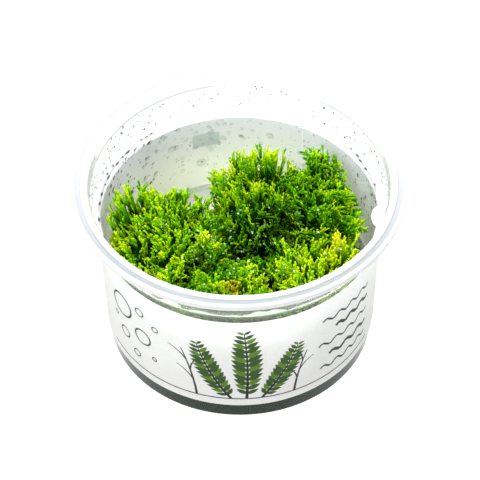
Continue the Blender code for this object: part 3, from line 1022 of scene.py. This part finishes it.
def frond_tips(node, tree, middle, count, rng, chance):
    """Where a cushion's fronds end, and how large each one is."""
    directions = normalised(spread_directions(count, LOWEST_FROND) + chance.normal(0, 0.05, (count, 3)))
    reach = dome_reach(tree, middle, directions, rng)
    sizes = chance.uniform(*FROND_SIZE, count)
    tips = middle + directions * (reach + chance.uniform(*OVERSHOOT, count))[:, None]
    if node in SPRIGS:
        tips = np.concatenate([tips, sprig_tips(node, chance)])
    tips = below_skyline(tips)
    if node in SKYLINE:
        tips = np.concatenate([tips, skyline_tips(node, chance)])
    return tips, np.concatenate([sizes, chance.uniform(*OUTLINE_FROND_SIZE, len(tips) - count)])


def moss_light(points, tips, frond, tones):
    """How light the moss is painted at each point: most at the tips, with painted shade deep down, in the
    valleys and on the front slope, and painted light on some clumps.
    """
    # Part of this darkening with depth is the moss's own darker lower parts, and part is painted shade.
    depth = np.linalg.norm(tips - points, axis=-1) / DEPTH_SHOWN
    shown = np.clip(1.1 - depth, 0, 1)
    light = DEEP_LIGHT + BLADE_LIGHT * shown + TIP_LIGHT * np.array(frond.tip)[None] * (0.15 + 0.85 * shown)
    light = light + np.array(frond.shade) * shown
    # Painted shade in the valleys and painted light on lighter clumps, by place in plan.
    light = light + (tones + place_value(points, LIGHT_AND_SHADE_PLACES)) * (0.3 + 0.7 * shown)
    return light - FRONT_SHADE * np.clip((FRONT_SHADE_START - points[..., 1]) / 3.0, 0, 1)


def make_cushion(node, length, count, upright, lean, lightness, templates, material, seed):
    """Makes a cushion of fronds round a dark core of painted shade, as large as its CAD dome. Returns its
    search tree.
    """
    rng = random.Random(seed)
    chance = np.random.default_rng(seed)
    tree = tree_of(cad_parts[node].data)
    low, high = in_mm(node)
    middle = np.array([(low[0] + high[0]) / 2, (low[1] + high[1]) / 2, low[2] + DOME_MIDDLE])
    deep = middle - [0, 0, ROOT_DEPTH * upright]
    parts = Parts("light", "amber", "corner")
    shade_core(parts, tree, middle, rng)

    tips, sizes = frond_tips(node, tree, middle, count, rng, chance)
    count = len(tips)
    ways = normalised(tips - deep) + [*lean, 0] + WANDER * wander(tips, WANDER_SIZE, seed)
    ways = normalised(ways + chance.normal(0, LEAN_SCATTER, (count, 3)))
    outward = normalised(tips - middle + [0, 0, 6.0]) + chance.normal(0, FACING_SCATTER, (count, 3))
    normals = normalised(outward - ways * np.sum(outward * ways, axis=1, keepdims=True))
    sideways = np.cross(ways, normals)
    feet = tips - ways * (sizes * length)[:, None]
    bends = chance.normal(0.0, 1.0, count)[:, None] * normals * BENDING
    kinds = chance.integers(0, len(templates), count)
    tones = chance.normal(0, 0.1, count) + lightness

    for kind, frond in enumerate(templates):
        chosen = np.flatnonzero(kinds == kind)
        local = np.array(frond.points)[None] * sizes[chosen, None, None]
        points = feet[chosen, None] + local[..., :1] * sideways[chosen, None]
        points = points + local[..., 1:2] * ways[chosen, None] + local[..., 2:] * normals[chosen, None]
        points = points + bends[chosen, None] * (local[..., 1:2] * (local[..., 1:2] - length))
        points = pressed_inside(points, chance)
        light = moss_light(points, tips[chosen, None], frond, tones[chosen, None])
        amber = place_value(points, AMBER_PLACES) + 0.12 * chance.random((len(chosen), 1)) ** 6
        corner = np.arange(local.shape[1]) % 3
        parts.add(points, frond.quads, frond.triangles, light=light, amber=amber, corner=corner)

    mesh = parts.mesh(node + "_fronds")
    add_moss_values(mesh, parts)
    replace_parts(add_piece(node + "_fronds", mesh, [material]), node)
    return tree_of(mesh)


def add_moss_values(mesh, parts):
    """Gives the mesh the values that its material reads, and a UV map that follows them, so that a picture of
    the material's colours over that map fits every frond."""
    light = np.clip(parts.value("light"), 0, 1)
    amber = np.clip(parts.value("amber"), 0, 1)
    corner = parts.value("corner").astype(int)
    for name, values in (("light", light), ("amber", amber)):
        mesh.attributes.new(name, "FLOAT", "POINT").data.foreach_set("value", values.astype(np.float32))
    across = np.array([(1, -0.5), (0, 1), (-1, -0.5)])[corner] * UV_STEP
    spots = np.stack([light, amber], axis=-1) * (1 - 4 * UV_STEP) + 2 * UV_STEP + across
    uvs = spots[points_at_corners(mesh)].astype(np.float32)
    mesh.uv_layers.new(name="OFBake").uv.foreach_set("vector", uvs.ravel())


def make_moss():
    """Makes the cushions. Returns their search trees."""
    noise.seed_set(NOISE_SEED)
    material = wet_moss()
    templates = {}
    for index, (name, style) in enumerate(STYLES.items()):
        rng = random.Random(FIRST_STYLE_SEED + index)
        templates[name] = [Frond(style, rng) for _ in range(TEMPLATES_PER_STYLE)]
    trees = []
    for index, (node, (name, *habit)) in enumerate(CUSHIONS.items()):
        seed = FIRST_CUSHION_SEED + index
        trees.append(make_cushion(node, STYLES[name]["length"], *habit, templates[name], material, seed))
    return trees


# Water. The drops are low domes. Places are an angle from +X in degrees and a height.

WATER_SEED = 5
# Patches of small drops: how many, their angles, their heights, and their least and greatest radius.
WALL_DROPS = [
    (240, (60.0, 165.0), (24.0, 45.5), (0.25, 0.9)),
    (200, (-30.0, 60.0), (22.0, 45.5), (0.2, 0.5)),
    (330, (-165.0, -15.0), (43.4, 46.2), (0.15, 0.5)),
]
UPPER_DROPS = [
    (230, (120.0, 235.0), (47.5, 54.5), (0.15, 0.4)),
    (70, (60.0, 120.0), (47.5, 54.5), (0.12, 0.3)),
    (130, (-50.0, 60.0), (47.5, 54.5), (0.15, 0.45)),
]
# Larger drops: angle, height, half width, half height and tilt in degrees.
LARGE_DROPS = [
    (106.8, 27.2, 1.65, 1.7, -20), (129.6, 29.6, 0.7, 1.5, -35), (135.6, 30.6, 0.8, 1.2, -20),
    (127.9, 38.2, 0.9, 0.6, 20), (134.3, 36.1, 0.6, 0.8, -40), (113.7, 37.9, 0.75, 0.55, 30),
    (109.3, 33.8, 1.1, 0.7, 25), (103.1, 33.4, 1.1, 0.7, 15), (124.6, 42.9, 0.8, 0.6, 20),
    (102.0, 38.8, 1.2, 0.9, 0), (108.6, 40.2, 0.7, 0.5, 0), (132.2, 43.4, 0.8, 0.6, 0),
    (133.1, 38.0, 0.9, 0.7, 30), (152.7, 43.2, 0.5, 0.7, 0), (159.0, 39.5, 0.6, 0.9, -20),
    (154.5, 38.8, 0.4, 0.5, 0), (96.7, 36.0, 1.0, 0.9, 0), (76.1, 37.6, 1.2, 1.1, 0),
    (119.9, 26.0, 0.7, 0.6, 20), (115.5, 31.3, 0.9, 0.7, 0), (115.7, 29.7, 0.6, 0.5, 0),
    (115.7, 28.2, 0.7, 0.6, 0), (115.9, 26.0, 0.8, 0.9, 0), (120.5, 36.5, 1.5, 1.3, 0),
    (93.0, 41.5, 0.6, 0.5, 0), (88.0, 36.0, 0.7, 0.6, 0), (28.0, 40.0, 0.5, 1.1, 0),
    (20.0, 36.0, 0.4, 0.9, 0), (14.0, 41.0, 0.5, 0.8, 0), (-9.2, 44.0, 0.7, 1.0, 0),
]
# Drops along the inner edge of the ledge: angle, radius from the axis, and half length along the ledge.
LEDGE_DROP_HALF_WIDTH = 0.35
LEDGE_DROP_HEIGHT = 0.4
LEDGE_DROPS = [
    (130.3, 39.8, 0.6), (133.0, 39.8, 0.5), (135.8, 40.0, 0.35), (145.0, 39.7, 1.1), (148.6, 39.8, 0.5),
    (152.9, 39.8, 0.9), (154.8, 40.5, 0.5), (161.6, 39.8, 1.0), (160.0, 40.6, 0.5), (171.7, 39.9, 0.9),
    (166.0, 39.8, 0.4), (177.0, 40.0, 0.8), (186.0, 40.1, 1.0), (196.0, 40.0, 0.7), (30.2, 40.2, 0.9),
    (27.0, 39.8, 0.7), (21.8, 39.7, 0.6), (35.0, 40.3, 0.4), (12.0, 40.0, 0.5), (-14.0, 40.0, 0.9),
]
# Water that lies on the ledge: its first and last angle, its half width, its height, and its unevenness.
LEDGE_WATER_STEP = 1.2
LEDGE_WATER = [
    (-131.0, -122.0, 0.2, 0.35, 0.6), (-123.0, -113.0, 0.4, 0.6, 0.6), (-113.5, -96.0, 0.22, 0.4, 0.6),
    (-97.0, -88.5, 0.2, 0.35, 0.4), (-89.5, -72.0, 0.55, 0.9, 0.4), (-72.5, -55.0, 0.22, 0.4, 0.6),
    (-48.0, -44.0, 0.25, 0.4, 0.4), (-41.0, -38.5, 0.2, 0.4, 0.4), (160.0, 215.0, 0.25, 0.3, 0.6),
]
# Drops that hang over the inner edge of the ledge: angle, radius, half width, half length and height.
HANGING_DROPS = [(-6.0, 39.6, 1.9, 4.0, 1.6), (4.0, 40.4, 1.0, 4.0, 1.0), (-15.0, 40.3, 0.9, 4.5, 0.9)]
# Beads of water on the moss, painted near white as glints: how many, where they gather in plan, how far from
# the axis they may be, and at what height and from how many metres away rays are aimed to find the moss.
GLINTS = 190
GLINT_MIDDLE = (2.0, -8.0)
GLINT_SPREAD = (15.0, 9.0)
GLINT_REACH = 36.0
GLINT_AIM_HEIGHT = 40
GLINT_RAY_START = 0.05
# Small drops are lower than they are wide, and all drops are sunk a little into what they lie on.
SMALL_DROP_SHAPE = (1.0, 1.0, 0.3)
DROP_SINK = 0.05
DROP_SHARP_ANGLE = 75
TUBE_SIDES = 8


def dome(sides, rings):
    """A unit dome with a closed, sunk bottom, as points, quads and triangles."""
    turns = np.arange(sides) * math.tau / sides
    points = [(r * math.cos(turn), r * math.sin(turn), height) for r, height in rings for turn in turns]
    points += [(0.0, 0.0, -0.3), (0.0, 0.0, 1.0)]
    return np.array(points), *closed_rings(len(rings), sides)


SMALL_DOME = dome(8, [(1.0, 0.0), (0.72, 0.72)])
LARGE_DOME = dome(14, [(1.0, 0.0), (0.9, 0.22), (0.7, 0.53), (0.4, 0.85)])


def add_domes(parts, shape, feet, outward, upward, sizes, kind):
    """Adds a dome at each foot. Its sizes are its half width, half length along upward, and height."""
    points, quads, triangles = shape
    upward = normalised(upward - outward * np.sum(upward * outward, axis=1, keepdims=True))
    sideways = np.cross(upward, outward)
    placed = feet[:, None] - DROP_SINK * outward[:, None]
    for axis, way in enumerate((sideways, upward, outward)):
        placed = placed + points[None, :, axis:axis + 1] * sizes[:, None, axis:axis + 1] * way[:, None]
    parts.add(placed, quads, triangles, kind=kind)


def on_inner_wall(angles, heights):
    """Points of the cup's inner wall, with the directions into the cup and up the wall."""
    turns = np.radians(angles)
    return on_circle(turns, inside_radius(heights), heights), on_circle(turns, -1, 0), on_circle(turns, 0, 1)


def wall_drops(parts, patches, kind, chance):
    """Patches of small drops. Most are near the smallest size of their patch."""
    for count, angles, heights, (least, greatest) in patches:
        wall = on_inner_wall(chance.uniform(*angles, count), chance.uniform(*heights, count))
        radius = least + (greatest - least) * chance.random(count) ** 2.5
        sizes = radius[:, None] * SMALL_DROP_SHAPE * (1 + chance.uniform(-0.15, 0.3, (count, 3)))
        add_domes(parts, SMALL_DOME, *wall, sizes, kind)


def large_drops(parts, kind):
    angles, heights, across, along, tilts = np.array(LARGE_DROPS).T
    feet, outward, upward = on_inner_wall(angles, heights)
    tilts = np.radians(tilts)[:, None]
    upward = upward * np.cos(tilts) + np.cross(outward, upward) * np.sin(tilts)
    sizes = np.stack([across, along, 0.25 * np.sqrt(across * along)], axis=-1)
    add_domes(parts, LARGE_DOME, feet, outward, upward, sizes, kind)


def ledge_drops(parts, places, kind):
    """Drops on the ledge, each given by its angle, its radius from the axis and its three sizes."""
    angles, radii, *sizes = np.array(places).T
    turns = np.radians(angles)
    feet = on_circle(turns, radii, LEDGE_HEIGHT)
    along = np.cross([0, 0, 1], on_circle(turns, 1, 0))
    add_domes(parts, LARGE_DOME, feet, on_circle(turns, 0, 1), along, np.stack(sizes, axis=-1), kind)


def ledge_water(parts, kind, chance):
    """Uneven runs of water in the corner of the ledge, each a closed tube with tapered ends."""
    around = np.arange(TUBE_SIDES) * math.tau / TUBE_SIDES
    for first, last, half_width, height, unevenness in LEDGE_WATER:
        steps = max(6, round((last - first) / LEDGE_WATER_STEP))
        share = np.linspace(0, 1, steps + 1)
        turns = np.radians(first + (last - first) * share)
        swell = np.sqrt(np.clip(4 * share * (1 - share), 0.02, 1))
        knots = chance.uniform(-unevenness, unevenness, steps // 3 + 3)
        swell = swell * (1 + np.interp(share, np.linspace(0, 1, len(knots)), knots))
        middle = LEDGE_OUTER_RADIUS - 0.15 - 0.8 * half_width * swell
        r = middle[:, None] + half_width * swell[:, None] * np.cos(around)
        z = LEDGE_HEIGHT - DROP_SINK + np.maximum(height * swell[:, None] * np.sin(around), 0)
        r = np.minimum(r, LEDGE_OUTER_RADIUS + 0.02 * np.sin(around))
        points = on_circle(turns[:, None], r, z).reshape(1, -1, 3)
        quads = closed_rings(steps + 1, TUBE_SIDES)[0][:, [0, 3, 2, 1]]
        last_ring = steps * TUBE_SIDES
        start = [(0, k, k + 1) for k in range(1, TUBE_SIDES - 1)]
        end = [(last_ring, last_ring + k + 1, last_ring + k) for _, k, _ in start]
        parts.add(points, quads, start + end, kind=kind)


def glints(parts, trees, kind, chance):
    """Beads of water on the moss, painted near white as glints, where a ray from the camera's side meets it.
    """
    way = Vector((0, math.cos(CAMERA_ELEVATION), -math.sin(CAMERA_ELEVATION)))
    feet = []
    while len(feet) < GLINTS:
        x, y = chance.normal(GLINT_MIDDLE, GLINT_SPREAD)
        start = Vector((x, y, GLINT_AIM_HEIGHT)) * MM - way * GLINT_RAY_START
        hits = [tree.ray_cast(start, way) for tree in trees]
        hits = [hit for hit in hits if hit[0] is not None]
        if hits:
            nearest = min(hits, key=lambda hit: hit[3])[0]
            if math.hypot(nearest.x, nearest.y) < GLINT_REACH * MM:
                feet.append(np.array(nearest) / MM)
    feet = np.array(feet)
    outward = normalised(np.array([0.0, -0.5, 1.0]) + chance.normal(0, 0.3, feet.shape))
    upward = chance.normal(0, 1, feet.shape)
    radius = 0.13 + 0.25 * chance.random(GLINTS) ** 2.5
    stretched = radius * (1 + 1.5 * chance.random(GLINTS) ** 4)
    add_domes(
        parts, SMALL_DOME, feet, outward, upward, np.stack([radius, stretched, radius], axis=-1), kind,
    )


def make_water(moss_trees):
    """Makes all the water as one piece."""
    chance = np.random.default_rng(WATER_SEED)
    materials = [
        water("clear water", (0.86, 0.9, 0.84), 1.0),
        # Drops painted dark: painted shade for the dark moss that they show.
        water("shaded water", (0.12, 0.16, 0.16), 0.9),
        # Water painted white, as highlights on the water that lies on and hangs from the ledge.
        water("water painted white as highlights", (0.94, 0.95, 0.92), 0.3),
        # Beads painted near white, as glints.
        water("water painted white as glints", (0.84, 1.0, 0.95), 0.1),
    ]
    clear, shaded, highlight_white, bright = range(4)
    parts = Parts("kind")
    wall_drops(parts, WALL_DROPS, clear, chance)
    wall_drops(parts, UPPER_DROPS, shaded, chance)
    large_drops(parts, clear)
    along_ledge = [
        (angle, r, LEDGE_DROP_HALF_WIDTH, length, LEDGE_DROP_HEIGHT) for angle, r, length in LEDGE_DROPS
    ]
    ledge_drops(parts, along_ledge, shaded)
    # The drops that hang over the ledge and the runs of water on it are painted white as highlights.
    ledge_drops(parts, HANGING_DROPS, highlight_white)
    ledge_water(parts, highlight_white, chance)
    glints(parts, moss_trees, bright, chance)
    mesh = parts.mesh("water_drops", DROP_SHARP_ANGLE)
    first_corners = np.zeros(len(mesh.polygons), np.int32)
    mesh.polygons.foreach_get("loop_start", first_corners)
    choose_materials(mesh, parts.value("kind")[points_at_corners(mesh)[first_corners]])
    add_piece("water_drops", mesh, materials)


# Stage


def make_stage():
    half, drop = 900.0, -0.1
    corners = [(-half, -half, drop), (half, -half, drop), (half, half, drop), (-half, half, drop)]
    floor = add_object("floor", mesh_of("floor", corners, [(0, 1, 2, 3)]))
    floor.data.materials.append(light_table())


def make_lamp(name, place, target, size, watts):
    lamp = bpy.data.lights.new(name, "AREA")
    lamp.shape = "DISK"
    lamp.size = size
    lamp.energy = watts
    holder = add_object(name, lamp)
    holder.location = place
    holder.rotation_euler = (Vector(target) - Vector(place)).to_track_quat("-Z", "Y").to_euler()


def make_light():
    """A white studio, a little darker on the right and overhead. One lamp is at the upper left in front, one
    above and one behind."""
    world = bpy.data.worlds.new("studio")
    world.use_nodes = True
    tree = world.node_tree
    place = add_node(tree, "ShaderNodeTexCoord").outputs["Generated"]
    way = add_node(tree, "ShaderNodeSeparateXYZ", {"Vector": place}).outputs
    across = share_of(tree, way["X"], -1.0, 1.0)
    walls = ramp(tree, across, [(0.0, (1.35, 1.35, 1.35)), (1.0, (1.05, 1.06, 1.07))])
    studio = mixed_colour(tree, share_of(tree, way["Z"], 0.2, 0.9), walls, (0.85, 0.85, 0.85, 1.0))
    set_inputs(tree.nodes["Background"], {"Color": studio})
    scene = bpy.context.scene
    scene.world = world
    make_lamp("key", (-0.45, -0.4, 0.7), (0, 0, 0.04), 0.15, 2.2)
    make_lamp("top", (0.0, 0.25, 0.9), (0, 0, 0.04), 0.2, 4.2)
    make_lamp("back", (0.0, 0.8, 0.12), (0, 0, 0.03), 0.5, 9.0)
    scene.view_settings.view_transform = "Standard"
    scene.view_settings.look = "None"
    scene.view_settings.exposure = 0.0


def make_camera():
    camera = bpy.data.cameras.new("camera")
    camera.sensor_width = 36.0
    camera.lens = camera.sensor_width * CAMERA_FOCAL_LENGTH / PICTURE_SIDE
    camera.clip_start = 0.01
    camera.clip_end = 10.0
    camera.shift_x = (PICTURE_SIDE / 2 - PICTURE_MIDDLE[0]) / PICTURE_SIDE
    camera.shift_y = (PICTURE_MIDDLE[1] - PICTURE_SIDE / 2) / PICTURE_SIDE
    holder = add_object("camera", camera)
    back = Vector((0, -math.cos(CAMERA_ELEVATION), math.sin(CAMERA_ELEVATION)))
    target = Vector((0, 0, CAMERA_HEIGHT_OF_AIM))
    holder.location = (target + back * CAMERA_DISTANCE) * MM
    turn = (-back).to_track_quat("-Z", "Y").to_matrix() @ Matrix.Rotation(CAMERA_ROLL, 3, "Z")
    holder.rotation_euler = turn.to_euler()
    bpy.context.scene.camera = holder


make_camera()
make_light()
make_stage()
make_cup()
make_label()
make_gel()
make_water(make_moss())
